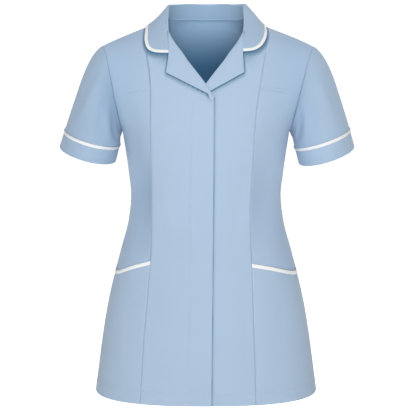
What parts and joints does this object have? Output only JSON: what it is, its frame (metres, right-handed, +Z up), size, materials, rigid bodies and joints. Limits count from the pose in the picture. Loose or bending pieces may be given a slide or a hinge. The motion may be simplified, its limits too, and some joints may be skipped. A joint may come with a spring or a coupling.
{
  "type": "medical tunic",
  "caption": "Short-sleeved medical tunic with a revere collar, princess seams, slanted hip pockets and contrast binding, standing hollow as worn.",
  "frame": {"origin": "midway between the two side-neck points of the shoulder seams, level with them", "axes": "+Z up, along the wearer's spine; the front faces -Y; +X towards the wearer's left"},
  "size_m": [0.5673, 0.2876, 0.747],
  "materials": {
    "cloth": "matte woven poly-cotton",
    "binding": "matte woven tape"
  },
  "bodies": {
    "root": {"back": "cloth", "collar": "cloth", "neck_tape": "cloth", "front_right_centre": "cloth", "front_right_side": "cloth", "pocket_right": "cloth", "sleeve_right": "cloth", "cuff_right": "cloth", "lapel_right": "cloth", "front_left_centre": "cloth", "front_left_side": "cloth", "pocket_left": "cloth", "sleeve_left": "cloth", "cuff_left": "cloth", "lapel_left": "cloth", "collar_binding": "binding", "cuff_binding_right": "binding", "pocket_binding_right": "binding", "cuff_binding_left": "binding", "pocket_binding_left": "binding"}
  },
  "joints": []
}
